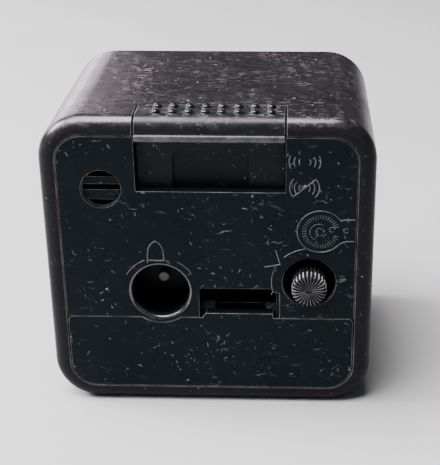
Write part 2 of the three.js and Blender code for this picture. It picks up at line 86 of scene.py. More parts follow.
def prism(name, outline, y0, y1):
    n = len(outline)
    v = [(x, y0, z) for x, z in outline] + [(x, y1, z) for x, z in outline]
    f = [list(range(n)), list(range(2 * n - 1, n - 1, -1))] + [[i, (i + 1) % n, n + (i + 1) % n, n + i] for i in range(n)]
    return fix_normals(new_object(name, v, f))


def block(name, x0, x1, y0, y1, z0, z1):
    return prism(name, [(x0, z0), (x1, z0), (x1, z1), (x0, z1)], y0, y1)


def loft(name, loops, closed):
    n = len(loops[0]); v = [p for l in loops for p in l]; f = []
    m = len(loops)
    for j in range(m if closed else m - 1):
        a, b = j * n, ((j + 1) % m) * n
        f += [[a + i, a + (i + 1) % n, b + (i + 1) % n, b + i] for i in range(n)]
    if not closed:
        f += [list(range(n)), list(range((m - 1) * n, m * n))]
    return fix_normals(new_object(name, v, f))


def lathe(name, x, z, profile, n=96, closed=True):
    """profile of (radius, y) round an axis along Y; radius 0 ends on the axis"""
    v, rows = [], []
    for r, y in profile:
        if r < 1e-6:
            rows.append([len(v)]); v.append((x, y, z))
        else:
            rows.append(list(range(len(v), len(v) + n)))
            v += [(x + r * math.cos(2 * math.pi * i / n), y, z + r * math.sin(2 * math.pi * i / n)) for i in range(n)]
    f = []
    m = len(rows)
    for j in range(m if closed else m - 1):
        a, b = rows[j], rows[(j + 1) % m]
        for i in range(n):
            i2 = (i + 1) % n
            if len(a) == 1 and len(b) == 1: break
            if len(a) == 1: f.append([a[0], b[i2], b[i]])
            elif len(b) == 1: f.append([a[i], a[i2], b[0]])
            else: f.append([a[i], a[i2], b[i2], b[i]])
    return fix_normals(new_object(name, v, f))


def apply_mods(o):
    dg = bpy.context.evaluated_depsgraph_get(); dg.update()
    me = bpy.data.meshes.new_from_object(o.evaluated_get(dg))
    old = o.data
    o.modifiers.clear()
    me.name = old.name + "_m"
    o.data = me
    bpy.data.meshes.remove(old)
    return o


def boolean(o, cutters, op="DIFFERENCE"):
    for c in cutters:
        m = o.modifiers.new("b", "BOOLEAN"); m.operation = op; m.solver = "EXACT"; m.object = c
    apply_mods(o)
    for c in cutters:
        bpy.data.objects.remove(c, do_unlink=True)
    bm = bmesh.new(); bm.from_mesh(o.data)
    bmesh.ops.remove_doubles(bm, verts=bm.verts, dist=2e-7)
    bmesh.ops.dissolve_degenerate(bm, edges=bm.edges, dist=1e-7)
    bm.to_mesh(o.data); bm.free()
    return o


def two_slots(o):
    while len(o.data.materials) < 2: o.data.materials.append(None)


def bevel(o, width=0.12, segments=2, angle=35):
    """the bevel faces take material slot 1, the rubbed edge"""
    two_slots(o)
    m = o.modifiers.new("bevel", "BEVEL")
    m.material = 1
    m.width = width * MM; m.segments = segments; m.limit_method = "ANGLE"; m.angle_limit = math.radians(angle)
    m.use_clamp_overlap = True; m.miter_outer = "MITER_ARC"
    return apply_mods(o)


def smooth(o, angle=38):
    for p in o.data.polygons: p.use_smooth = True
    o.data.set_sharp_from_angle(angle=math.radians(angle))
    m = o.modifiers.new("wn", "WEIGHTED_NORMAL"); m.keep_sharp = True; m.weight = 60
    return o


def merge(target, others):
    bm = bmesh.new(); bm.from_mesh(target.data)
    for x in others:
        bm.from_mesh(x.data)
        bpy.data.objects.remove(x, do_unlink=True)
    bm.to_mesh(target.data); bm.free(); target.data.update()
    return target


# ----------------------------------------------------------------- materials
class Nodes:
    def __init__(self, name):
        self.m = bpy.data.materials.new(name); self.m.use_nodes = True
        self.t = self.m.node_tree; self.t.nodes.clear()
        self.out = self.t.nodes.new("ShaderNodeOutputMaterial")
        self.p = self.t.nodes.new("ShaderNodeBsdfPrincipled")
        self.t.links.new(self.p.outputs[0], self.out.inputs[0])
        self.tc = self.t.nodes.new("ShaderNodeTexCoord")

    def link(self, a, b): self.t.links.new(a, b)

    def mapping(self, scale=(1, 1, 1), rot=(0, 0, 0), loc=(0, 0, 0)):
        n = self.t.nodes.new("ShaderNodeMapping")
        n.inputs["Scale"].default_value = [s * 1000 for s in scale]
        n.inputs["Rotation"].default_value = [math.radians(r) for r in rot]
        n.inputs["Location"].default_value = loc
        self.link(self.tc.outputs["Object"], n.inputs[0])
        return n.outputs[0]

    def turned(self, rot, scale, loc=(0, 0, 0)):
        """coordinates turned first and stretched after, so scratches can run any way"""
        a = self.t.nodes.new("ShaderNodeVectorRotate"); a.rotation_type = "EULER_XYZ"
        a.inputs["Rotation"].default_value = [math.radians(r) for r in rot]
        self.link(self.tc.outputs["Object"], a.inputs["Vector"])
        n = self.t.nodes.new("ShaderNodeMapping")
        n.inputs["Scale"].default_value = [s * 1000 for s in scale]
        n.inputs["Location"].default_value = loc
        self.link(a.outputs[0], n.inputs[0])
        return n.outputs[0]

    def noise(self, vec, scale=1.0, detail=3.0, rough=0.5, dist=0.0):
        n = self.t.nodes.new("ShaderNodeTexNoise")
        n.inputs["Scale"].default_value = scale; n.inputs["Detail"].default_value = detail
        n.inputs["Roughness"].default_value = rough; n.inputs["Distortion"].default_value = dist
        self.link(vec, n.inputs["Vector"])
        return n.outputs[0]

    def voronoi(self, vec, scale=1.0, feature="F1"):
        n = self.t.nodes.new("ShaderNodeTexVoronoi"); n.feature = feature
        n.inputs["Scale"].default_value = scale
        self.link(vec, n.inputs["Vector"])
        return n

    def ramp(self, fac, stops):
        n = self.t.nodes.new("ShaderNodeValToRGB")
        e = n.color_ramp.elements
        while len(e) < len(stops): e.new(0.5)
        for k, (pos, c) in enumerate(stops):
            e[k].position = pos
            e[k].color = (c, c, c, 1) if isinstance(c, (int, float)) else (*c, 1)
        self.link(fac, n.inputs[0])
        return n.outputs[0]

    def math(self, op, a, b=None, clamp=False):
        n = self.t.nodes.new("ShaderNodeMath"); n.operation = op; n.use_clamp = clamp
        for i, x in enumerate((a, b)):
            if x is None: continue
            if isinstance(x, (int, float)): n.inputs[i].default_value = x
            else: self.link(x, n.inputs[i])
        return n.outputs[0]

    def mix(self, fac, a, b):
        n = self.t.nodes.new("ShaderNodeMix"); n.data_type = "RGBA"
        for key, x in ((0, fac), (6, a), (7, b)):
            if isinstance(x, (int, float)): n.inputs[key].default_value = x
            elif isinstance(x, (tuple, list)): n.inputs[key].default_value = (*x, 1)
            else: self.link(x, n.inputs[key])
        return n.outputs[2]

    def bump(self, height, strength=0.3, dist=0.05, normal=None):
        n = self.t.nodes.new("ShaderNodeBump")
        n.inputs["Strength"].default_value = strength
        n.inputs["Distance"].default_value = dist * MM
        self.link(height, n.inputs["Height"])
        if normal is not None: self.link(normal, n.inputs["Normal"])
        return n.outputs[0]


TURN = {"top": (0, 0), "back": (90, 0), "side": (0, 90)}


def scratches(k, face, angle, length, width, density, seed, curl=0.0, most=0.42, soft=7.0):
    """short separate strokes: long thin cells laid in the plane of one face, a few of them filled"""
    if not hasattr(k, "bent"):
        k.mm = k.mapping((1, 1, 1)); k.bent = {}
    curl = 0.8 if curl < 1.3 else 2.4
    if curl not in k.bent:
        n = k.t.nodes.new("ShaderNodeTexNoise"); n.inputs["Scale"].default_value = 0.42; n.inputs["Detail"].default_value = 2
        k.link(k.mm, n.inputs["Vector"])
        sub = k.t.nodes.new("ShaderNodeVectorMath"); sub.operation = "MULTIPLY_ADD"
        k.link(n.outputs["Color"], sub.inputs[0]); sub.inputs[1].default_value = (curl, curl, curl)
        k.link(k.mm, sub.inputs[2])
        k.bent[curl] = sub.outputs[0]
    v = k.bent[curl]
    a = k.t.nodes.new("ShaderNodeVectorRotate"); a.rotation_type = "EULER_XYZ"
    a.inputs["Rotation"].default_value = [math.radians(TURN[face][0]), math.radians(TURN[face][1]), math.radians(angle)]
    k.link(v, a.inputs["Vector"])
    m = k.t.nodes.new("ShaderNodeMapping")
    m.inputs["Scale"].default_value = (1 / length, 1 / width, 0)
    m.inputs["Location"].default_value = (seed * 3.17 + 0.3, seed * 1.73 + 0.6, 0)
    k.link(a.outputs[0], m.inputs[0])
    n = k.t.nodes.new("ShaderNodeTexVoronoi"); n.voronoi_dimensions = "2D"; n.inputs["Scale"].default_value = 1.0
    k.link(m.outputs[0], n.inputs["Vector"])
    c = k.t.nodes.new("ShaderNodeSeparateColor"); k.link(n.outputs["Color"], c.inputs[0])
    size = k.ramp(c.outputs[0], [(1 - density, 0.0), (1.0, most)])
    inside = k.math("MULTIPLY", k.math("SUBTRACT", size, n.outputs["Distance"]), soft, clamp=True)
    return k.math("MULTIPLY", inside, k.math("ADD", k.math("MULTIPLY", c.outputs[1], 0.75), 0.25))


def most_of(k, items):
    out = items[0]
    for x in items[1:]: out = k.math("MAXIMUM", out, x)
    return out


def worn_black(name, base, light, rough, spec, top=0.0, back=0.0, side=0.0, dust=1.0, seed=0.0, dull_back=0.0, tint=None, mottle=0.2):
    """black ABS that has been carried in bags: strokes, curls, dust and nicks"""
    k = Nodes(name)
    sep = k.t.nodes.new("ShaderNodeSeparateXYZ"); k.link(k.tc.outputs["Normal"], sep.inputs[0])
    up = k.math("POWER", k.math("MAXIMUM", sep.outputs["Z"], 0.0), 1.5)
    if side:
        # the top strokes thicken towards +X, the side the lamps come from: partly wear, partly a painted light falloff
        # across the top
        place = k.t.nodes.new("ShaderNodeSeparateXYZ"); k.link(k.tc.outputs["Object"], place.inputs[0])
        up = k.math("MULTIPLY", up, k.math("ADD", k.math("MULTIPLY", place.outputs["X"], 11.0), 0.92))
    rear = k.math("POWER", k.math("ABSOLUTE", sep.outputs["Y"]), 2.0)
    wide = k.math("POWER", k.math("ABSOLUTE", sep.outputs["X"]), 2.0)
    tone = k.noise(k.mapping((0.07, 0.07, 0.07), loc=(seed, 0, 0)), 1, 4, 0.6)
    col = k.mix(k.ramp(tone, [(0.3, 0.0), (0.75, 1.0)]), base, [c * 1.5 + 0.0008 for c in base])
    gather = k.ramp(k.noise(k.mapping((0.085, 0.085, 0.085), loc=(3 + seed, seed, 1)), 1, 3, 0.6), [(0.40, 0.06), (0.60, 1.0)])
    layers, specks = [], []
    if top:
        fine = k.noise(k.turned((0, 0, 3), (0.42, 5.2, 3.0), (seed, 2, 3)), 1, 4, 0.65)
        fine = k.math("MULTIPLY", k.ramp(fine, [(0.48, 0.0), (0.70, 1.0)]), 0.24)
        group = [scratches(k, "top", a, l, w, d, seed + i, cu) for i, (a, l, w, d, cu) in enumerate([
            (2, 3.2, 0.52, 0.50, 0.6), (-8, 2.4, 0.46, 0.42, 0.9), (14, 1.9, 0.46, 0.30, 1.4), (-38, 1.5, 0.42, 0.16, 2.0), (68, 1.3, 0.42, 0.14, 2.0)])]
        crumbs = scratches(k, "top", 5, 0.7, 0.55, 0.22, seed + 9, 0.5, 0.3, 6)
        g = k.math("MAXIMUM", k.math("MULTIPLY", most_of(k, group + [crumbs]), gather), fine)
        layers.append(k.math("MULTIPLY", g, k.math("MULTIPLY", up, top)))
        specks.append(k.math("MULTIPLY", scratches(k, "top", 20, 1.5, 1.2, 0.07, seed + 11, 0.5, 0.2, 9), up))
    if back:
        group = [scratches(k, "back", a, l, w, d, seed + 20 + i, cu) for i, (a, l, w, d, cu) in enumerate([
            (4, 1.9, 0.34, 0.052, 1.4), (84, 1.6, 0.32, 0.042, 1.2), (-42, 1.5, 0.32, 0.038, 2.6), (35, 1.4, 0.34, 0.038, 3.0), (-12, 4.6, 0.38, 0.024, 2.2)][:2 if side else 5])]
        loose = k.ramp(k.noise(k.mapping((0.11, 0.11, 0.11), loc=(7 + seed, 2, seed)), 1, 3, 0.6), [(0.47, 0.06), (0.60, 1.0)])
        g = k.math("MULTIPLY", most_of(k, group), loose)
        g = k.math("MAXIMUM", g, k.math("MULTIPLY", scratches(k, "back", 50, 1.2, 0.40, 0.016, seed + 51, 3.4, 0.45, 8), 1.0))
        if not side: g = k.math("MAXIMUM", g, k.math("MULTIPLY", scratches(k, "back", 8, 4.2, 0.8, 0.14, seed + 31, 1.5, 0.4, 3), 0.22))
        layers.append(k.math("MULTIPLY", g, k.math("MULTIPLY", rear, back)))
        specks.append(k.math("MULTIPLY", scratches(k, "back", 0, 1.5, 1.2, 0.075, seed + 33, 0.9, 0.19, 9), k.math("MULTIPLY", rear, k.math("ADD", k.math("MULTIPLY", loose, 0.75), 0.25))))
        if not side: specks.append(k.math("MULTIPLY", scratches(k, "back", 30, 0.75, 0.6, 0.07, seed + 35, 0.6, 0.26, 7), k.math("MULTIPLY", k.math("MULTIPLY", rear, 0.5), loose)))
    if side:
        group = [scratches(k, "side", a, l, w, d, seed + 40 + i, cu) for i, (a, l, w, d, cu) in enumerate([
            (86, 3.0, 0.34, 0.16, 0.8), (-30, 2.4, 0.36, 0.14, 2.0)])]
        layers.append(k.math("MULTIPLY", k.math("MULTIPLY", most_of(k, group), gather), k.math("MULTIPLY", wide, side)))
        specks.append(k.math("MULTIPLY", scratches(k, "side", 0, 1.6, 1.3, 0.05, seed + 47, 0.6, 0.2, 9), wide))
    wear = most_of(k, layers)
    fleck = k.math("MULTIPLY", most_of(k, specks), dust, clamp=True)
    col = k.mix(wear, col, light)
    col = k.mix(fleck, col, (0.50, 0.50, 0.50))
    k.link(col, k.p.inputs["Base Color"])
    grain = k.noise(k.mapping((5, 5, 5)), 1, 2, 0.5)
    r0 = k.math("ADD", k.math("MULTIPLY", k.noise(k.mapping((0.22, 0.22, 0.22), loc=(seed, 5, 5)), 1, 4, 0.6), mottle), rough - mottle / 2)
    if dull_back: r0 = k.math("ADD", r0, k.math("MULTIPLY", rear, dull_back))
    k.link(k.math("ADD", r0, k.math("MULTIPLY", k.math("MAXIMUM", wear, fleck), 0.15), clamp=True), k.p.inputs["Roughness"])
    h = k.math("ADD", k.math("MULTIPLY", grain, 0.16), k.math("SUBTRACT", k.math("MULTIPLY", fleck, 0.5), k.math("MULTIPLY", wear, 0.6)))
    k.link(k.bump(h, 0.5, 0.045), k.p.inputs["Normal"])
    k.p.inputs["IOR"].default_value = 1.5
    k.p.inputs["Specular IOR Level"].default_value = spec
    if tint: k.p.inputs["Specular Tint"].default_value = (*tint, 1)
    return k.m


def rubbed_edge(name, low, high, rough, spec=0.5):
    """the thin polished line along an edge, broken where it is less worn; the same lighter line is also a painted
    highlight on the slide's bead and the knob's rib crests
    """
    k = Nodes(name)
    a = k.noise(k.mapping((0.3, 0.3, 0.3), loc=(4, 1, 7)), 1, 4, 0.65)
    b = k.noise(k.mapping((2.2, 2.2, 2.2)), 1, 2, 0.5)
    f = k.math("MULTIPLY", k.ramp(a, [(0.38, 0.12), (0.60, 1.0)]), k.ramp(b, [(0.3, 0.55), (0.6, 1.0)]))
    k.link(k.mix(f, low, high), k.p.inputs["Base Color"])
    k.link(k.math("ADD", k.math("MULTIPLY", b, 0.2), rough - 0.1), k.p.inputs["Roughness"])
    k.link(k.bump(b, 0.3, 0.03), k.p.inputs["Normal"])
    k.p.inputs["Specular IOR Level"].default_value = spec
    return k.m


def simple(name, base, rough, metallic=0.0, var=0.25, grain=(3, 3, 3), bump=0.15, coat=0.0, streak=None, transmission=0.0, ior=1.48):
    k = Nodes(name)
    n = k.noise(k.mapping((0.25, 0.25, 0.25)), 1, 5, 0.6)
    k.link(k.mix(k.ramp(n, [(0.3, 0.0), (0.7, 1.0)]), [c * (1 - var) for c in base], [min(1, c * (1 + var * 0.6)) for c in base]), k.p.inputs["Base Color"])
    g = k.noise(k.mapping(streak or grain), 1, 3, 0.5)
    k.link(k.math("ADD", k.math("MULTIPLY", g, 0.16), max(0.0, rough - 0.08)), k.p.inputs["Roughness"])
    if bump: k.link(k.bump(g, bump, 0.03), k.p.inputs["Normal"])
    k.p.inputs["Metallic"].default_value = metallic
    k.p.inputs["Coat Weight"].default_value = coat
    k.p.inputs["IOR"].default_value = ior
    if transmission:
        k.p.inputs["Transmission Weight"].default_value = transmission
    return k.m


M = {}
M["case_plastic"] = worn_black("case_plastic", (0.0056, 0.0056, 0.0066), (0.160, 0.138, 0.144), 0.26, 0.09, top=0.9, back=0.5, side=0.5, dust=0.8, seed=0.0, dull_back=0.24, tint=(0.97, 0.95, 1.0))
M["cover_plastic"] = worn_black("cover_plastic", (0.0038, 0.0058, 0.0074), (0.19, 0.205, 0.21), 0.42, 0.055, back=0.85, dust=0.9, seed=3.7, tint=(0.78, 0.95, 1.0))
M["switch_plastic"] = worn_black("switch_plastic", (0.0050, 0.0074, 0.0092), (0.160, 0.150, 0.156), 0.26, 0.12, top=1.0, back=0.6, dust=0.9, seed=6.1, dull_back=0.26, tint=(0.92, 0.95, 1.0))
M["case_roll"] = worn_black("case_roll", (0.0056, 0.0056, 0.0066), (0.19, 0.168, 0.175), 0.29, 0.70, top=0.95, back=0.8, dust=0.8, seed=0.0, tint=(0.99, 0.94, 0.98), mottle=0.46)
M["case_turn"] = worn_black("case_turn", (0.0056, 0.0056, 0.0066), (0.160, 0.140, 0.147), 0.30, 0.20, top=0.95, back=0.5, dust=0.8, seed=0.0, dull_back=0.12, tint=(0.98, 0.95, 1.0))
M["switch_roll"] = worn_black("switch_roll", (0.0044, 0.0057, 0.0071), (0.155, 0.150, 0.156), 0.28, 0.34, top=1.0, back=0.6, dust=0.9, seed=6.1, dull_back=0.1, tint=(0.98, 0.94, 0.99), mottle=0.40)
M["knob_plastic"] = worn_black("knob_plastic", (0.0045, 0.0047, 0.0055), (0.28, 0.28, 0.29), 0.36, 0.3, top=0.4, back=0.2, side=0.3, dust=0.3, seed=1.9)
M["edge_case"] = rubbed_edge("edge_case", (0.010, 0.010, 0.012), (0.115, 0.110, 0.122), 0.30)
M["edge_cover"] = rubbed_edge("edge_cover", (0.008, 0.010, 0.012), (0.16, 0.163, 0.172), 0.32)
# painted highlight: light rib crests on the knob, and a dimmer copy for the crests on the less lit front face
M["knob_crest_painted_highlight"] = rubbed_edge("knob_crest_painted_highlight", (0.10, 0.097, 0.10), (0.62, 0.60, 0.61), 0.30)
M["knob_face_crest_dim_painted_highlight"] = rubbed_edge("knob_face_crest_dim_painted_highlight", (0.018, 0.018, 0.020), (0.105, 0.103, 0.108), 0.32)
# painted shade: a darker black for the deep faces of the wells and the recess
M["well_painted_shade"] = simple("well_painted_shade", (0.0022, 0.0024, 0.0028), 0.5, var=0.4, bump=0.1)
M["well_painted_shade"].node_tree.nodes["Principled BSDF"].inputs["Specular IOR Level"].default_value = 0.12
M["lip_cover"] = rubbed_edge("lip_cover", (0.006, 0.008, 0.010), (0.030, 0.031, 0.034), 0.24, 0.95)
M["bump_gloss"] = rubbed_edge("bump_gloss", (0.004, 0.004, 0.005), (0.018, 0.017, 0.018), 0.20, 0.42)
# painted highlight: a lighter colour on the bead at the foot of the slide
M["slide_bead_painted_highlight"] = rubbed_edge("slide_bead_painted_highlight", (0.018, 0.018, 0.020), (0.085, 0.081, 0.088), 0.30, 0.40)
M["mark_plastic"] = rubbed_edge("mark_plastic", (0.022, 0.026, 0.029), (0.115, 0.122, 0.126), 0.34)
M["inner_black"] = simple("inner_black", (0.012, 0.012, 0.014), 0.55)
M["lens_clear"] = simple("lens_clear", (0.97, 0.98, 0.985), 0.03, var=0.01, grain=(0.3, 0.3, 0.3), bump=0.01, transmission=1.0, ior=1.46)
M["dial_black"] = simple("dial_black", (0.008, 0.008, 0.009), 0.72, grain=(9, 9, 9), bump=0.25)
M["print_white"] = simple("print_white", (0.72, 0.72, 0.69), 0.6, var=0.1, grain=(8, 8, 8))
M["hand_white"] = simple("hand_white", (0.80, 0.80, 0.77), 0.35, var=0.06, grain=(6, 6, 6))
M["hand_orange"] = simple("hand_orange", (0.78, 0.27, 0.03), 0.35, var=0.12, grain=(6, 6, 6))
M["plate_white"] = simple("plate_white", (0.66, 0.65, 0.58), 0.5, var=0.08)
M["gear_white"] = simple("gear_white", (0.82, 0.80, 0.71), 0.42, var=0.07)
M["brass"] = simple("brass", (0.72, 0.50, 0.20), 0.30, 1.0, 0.15, streak=(0.4, 9, 9))
M["steel"] = simple("steel", (0.58, 0.59, 0.60), 0.30, 1.0, 0.12, streak=(9, 0.5, 9))
M["magnet_grey"] = simple("magnet_grey", (0.10, 0.10, 0.11), 0.4, 0.6)
M["arbor_grey"] = simple("arbor_grey", (0.11, 0.115, 0.12), 0.42, var=0.15)
M["bobbin_green"] = simple("bobbin_green", (0.03, 0.16, 0.07), 0.35)
M["copper_wire"] = simple("copper_wire", (0.62, 0.24, 0.09), 0.28, 1.0, 0.12, streak=(7.5, 0.3, 0.3), bump=0.6)
M["flex_amber"] = simple("flex_amber", (0.50, 0.21, 0.05), 0.3, coat=0.4)
M["board_green"] = simple("board_green", (0.015, 0.11, 0.045), 0.32, var=0.3, grain=(1.2, 1.2, 1.2), coat=0.3)
M["chip_black"] = simple("chip_black", (0.006, 0.006, 0.007), 0.28, coat=0.2)
M["cell_jacket"] = simple("cell_jacket", (0.16, 0.18, 0.20), 0.3, 0.5, 0.2, streak=(0.3, 6, 6))


def finish_piece(o, body, slot, mat=None, replaces=(), extra=()):
    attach(o, body)
    for i, name in enumerate([mat or slot, *extra]):
        if i < len(o.data.materials): o.data.materials[i] = M[name]
        else: o.data.materials.append(M[name])
    if replaces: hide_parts(*replaces)
    return o


slots = {s["node"]: s["material_slot"] for s in frame["record"]["subparts"]}
for node, o in frame["nodes"].items():
    o.data.materials.clear() if hasattr(o.data, "materials") else None
    o.data.materials.append(M[slots[node]])


# ----------------------------------------------------------------- camera
f_px, cu, cv, cw, rx, ry, rz, ppx, ppy = 1098.834819, 16.499618, 125.617538, -183.460351, 0.408456, 0.030963, -0.003119, 265.999812, 188.484488
Rx = Matrix.Rotation(rx, 3, "X"); Ry = Matrix.Rotation(ry, 3, "Y"); Rz = Matrix.Rotation(rz, 3, "Z")
A = Rz @ Rx @ Ry @ Matrix(((1, 0, 0), (0, -1, 0), (0, 0, 1)))
to_row = lambda q: Vector((-q[0], -q[2], q[1]))
right, down, ahead = to_row(A[0]), to_row(A[1]), to_row(A[2])
cam = bpy.data.objects.new("camera", bpy.data.cameras.new("camera"))
scene.collection.objects.link(cam)
cam.data.sensor_fit = "AUTO"; cam.data.sensor_width = 36
cam.data.lens = f_px / 465 * 36
cam.data.shift_x = (220 - ppx) / 465
cam.data.shift_y = (ppy - 232.5) / 465
cam.matrix_world = Matrix((
    (right.x, -down.x, -ahead.x, -cu * MM), (right.y, -down.y, -ahead.y, (YB - cw) * MM), (right.z, -down.z, -ahead.z, cv * MM), (0, 0, 0, 1)))
cam.data.clip_start = 0.01; cam.data.clip_end = 20
scene.camera = cam

# --------------------------------------------------------------- front case
NC = 14


def ring(inset, y, n=NC, w=W, h=H, r=R):
    q = max(r - inset, 0.25)
    return [(x, y, z) for x, z in rounded(-w / 2 + inset, inset, w / 2 - inset, h - inset, q, n)]


def window_ring(x, z0, z1, r, y):
    return [(a, y, b) for a, b in rounded(-x, z0, x, z1, r, NC)]


loops = [ring(RIM, YB - RIM_T), ring(RIM, YB - 0.22)]
loops += [ring(RIM - 0.2 * (1 - math.cos(t)), YB - 0.22 + 0.2 * math.sin(t)) for t in (math.pi / 4, math.pi / 2)]
for i in range(11):
    t = math.pi / 2 * i / 10
    loops.append(ring(ER * (1 - math.sin(t)), YB - ER * (1 - math.cos(t))))
for y in (12.0, 0.0, -12.0): loops.append(ring(0, y))
for i in range(11):
    t = math.pi / 2 * (1 - i / 10)
    loops.append(ring(ER * (1 - math.sin(t)), YF + ER * (1 - math.cos(t))))
loops += [window_ring(25.75, 4.0, 55.5, 5.2, YF), window_ring(25.55, 4.2, 55.3, 5.0, YF + 0.2), window_ring(25.5, 4.25, 55.25, 5.0, YF + 2)]
loops += [ring(WALL, YF + 2), ring(WALL, YB - RIM_T)]
case = loft("front_case_shell", loops, True)
boolean(case, [block("c1", SW0 - GAP, SW1 + GAP, YB - SWD - GAP, YB + 1.5, H - 6, H + 1.5)])
bevel(case, 0.13, 2, 40)
smooth(case)
def polish_rolls(o, high, low):
    """the rolled edges round the top are rubbed to a shine, less so where they turn down into the back"""
    for f in o.data.polygons:
        if f.material_index == 0 and 0.2 < f.normal.z < 0.99:
            f.material_index = high if 0.46 < f.normal.z < 0.94 and f.normal.x > -0.3 else low


polish_rolls(case, 2, 3)
finish_piece(case, "case", "case_plastic", replaces=["front_case"], extra=["edge_case", "case_roll", "case_turn"])

# ---------------------------------------------------------------- rear cover
x1, top, rc = W / 2 - RIM - GAP + 0.19, H - RIM - GAP + 0.19, R - RIM - GAP + 0.15
cover = prism("rear_cover_panel", rounded(-x1, LINE + 0.08, x1, top, [0, 0, rc, rc], 14), CY, YB)


def disc(name, x, z, r, y0, y1, n=96):
    return prism(name, [(x + r * math.cos(2 * math.pi * i / n), z + r * math.sin(2 * math.pi * i / n)) for i in range(n)], y0, y1)


def band(name, x, z, r, z0, z1, y0, y1):
    """the part of a disc between two heights"""
    a0, a1 = math.degrees(math.asin(max(-1, (z0 - z) / r))), math.degrees(math.asin(min(1, (z1 - z) / r)))
    out = arc(x, z, r, a0, a1, 16) + arc(x, z, r, 180 - a1, 180 - a0, 16)
    clean = [p for i, p in enumerate(out) if math.dist(p, out[i - 1]) > 1e-4]
    return prism(name, clean, y0, y1)


def mouth(name, x, z, r, lip):
    """the cutter of a round hole with a rolled lip"""
    pr = [(0, CY - 1), (r, CY - 1)] + [(r + lip - lip * math.cos(t), YB - lip * 1.15 + lip * 1.15 * math.sin(t)) for t in [math.pi / 2 * i / 7 for i in range(8)]]
    return lathe(name, x, z, pr + [(r + lip, YB + 1), (0, YB + 1)], 120)


def slope(name, x0, x1_, z0, z1, deep):
    """a wedge that leaves a sloped wall, deep at x0 and running out at x1_"""
    v = [(x0, YB - deep, z0), (x0, YB + 0.3, z0), (x1_, YB + 0.3, z0), (x1_, YB, z0), (x0, YB - deep, z1), (x0, YB + 0.3, z1), (x1_, YB + 0.3, z1), (x1_, YB, z1)]
    return fix_normals(new_object(name, v, [[0, 1, 2, 3], [4, 5, 6, 7], [0, 1, 5, 4], [1, 2, 6, 5], [2, 3, 7, 6], [3, 0, 4, 7]]))


boolean(cover, [disc("u1", AX, AZ, 6.58, CY, YB)], "UNION")
boolean(cover, [
    block("c1", SW0 - GAP + 0.14, SW1 + GAP - 0.14, CY - 1, YB + 1, SWZ, H),
    mouth("c2", AX, AZ, 5.4, 0.72), mouth("c3", KX, KZ, 4.85, 0.42),
    prism("c4", rounded(-12.7, LINE - 2, 2.0, 25.4, [0, 0, 0.8, 0.8], 8), CY - 1, YB + 1),
    slope("c9", -12.6, -13.35, LINE - 2, 24.5, 0.75),
    disc("c5", SPX, SPZ, SPR, YB - 0.75, YB + 1),
    band("c6", SPX, SPZ, 3.5, SPZ + 2.25, SPZ + 3.5, CY - 1, YB), band("c7", SPX, SPZ, 3.5, SPZ - 0.35, SPZ + 0.75, CY - 1, YB),
    band("c8", SPX, SPZ, 3.5, SPZ - 3.5, SPZ - 2.3, CY - 1, YB)])
bevel(cover, 0.15, 2, 40)


def well(name, x, z, r, ro, hole):
    """a cup behind the cover, its foot buried in the panel"""
    return lathe(name, x, z, [(hole, 13.6), (ro, 13.6), (ro, CY + 0.4), (r, CY + 0.4), (r, 15.0), (r - 0.1, 14.85), (r - 0.25, 14.8), (hole, 14.8)], 120)


def rub_lips(o, places, slot_index):
    """the rolled lips of the round holes, polished by fingertips"""
    for f in o.data.polygons:
        c = f.center * 1000
        for x, z, lo, hi in places:
            d = math.hypot(c.x - x, c.z - z)
            if lo < d < hi and CY + 0.25 < c.y < YB - 0.015 and abs(f.normal.y) < 0.97: f.material_index = slot_index


parts = [well("w1", AX, AZ, 5.4, 6.4, 1.1), well("w2", KX, KZ, 4.85, 6.2, 1.5)]
pocket = prism("pk", [(-14.3, LINE + 0.6), (3.0, LINE + 0.6), (3.0, 26.4), (-14.3, 26.4)], 15.6, CY)
boolean(pocket, [prism("pc", rounded(-12.7, LINE - 2, 2.0, 25.4, [0, 0, 0.8, 0.8], 8), 16.6, CY + 1), disc("pd", AX, AZ, 5.9, 13, 24), disc("pe", KX, KZ, 5.5, 13, 24)])
parts.append(pocket)
for s in (-1, 1):
    a, b = (25.6, 27.1) if s > 0 else (-27.1, -25.6)
    parts.append(block("hk", a, b, 16.6, CY, 31, 35.2))
    a, b = (27.1, 28.3) if s > 0 else (-28.3, -27.1)
    parts.append(block("hk", a, b, 16.6, 18.1, 31, 35.2))
for x in (-22.4, 19.4):
    parts.append(block("hk", x, x + 3, 16.6, CY, 54.0, 55.5)); parts.append(block("hk", x, x + 3, 16.6, 18.1, 55.5, 56.9))
parts += [block("rb", -24.9, -23.5, -1.7, CY, 38.5, 42.5), block("rb", 23.2, 24.6, -1.7, CY, 28, 32)]
parts += [disc("ps", -19.5, 51.3, 1.3, 10.5, CY, 24), disc("ps", 5.5, 37.2, 1.3, 10.5, CY, 24)]
merge(cover, parts)


def darken_inside(o, depth, slot_index):
    """faces deeper than this in the wells and the recess take a darker material: painted shade"""
    for p in o.data.polygons:
        if p.center.y < (YB - depth) * MM: p.material_index = slot_index


# painted shade: the faces deep in the wells and the recess get the darker material
darken_inside(cover, 1.9, 2)
rub_lips(cover, [(AX, AZ, 5.42, 6.1), (KX, KZ, 4.87, 5.3), (SPX, SPZ, 3.6, 3.95)], 3)
smooth(cover)
finish_piece(cover, "case", "cover_plastic", replaces=["rear_cover"], extra=["edge_cover", "well_painted_shade", "lip_cover"])
tip = lathe("alarm_arbor_tip", AX, AZ, [(0, 14.2), (1.0, 14.2), (1.0, 16.2), (0.94, 16.36), (0.8, 16.45), (0.3, 16.47), (0.22, 16.4), (0, 16.36)], 40)
smooth(tip, 40)
finish_piece(tip, "alarm_setter", "arbor_grey")

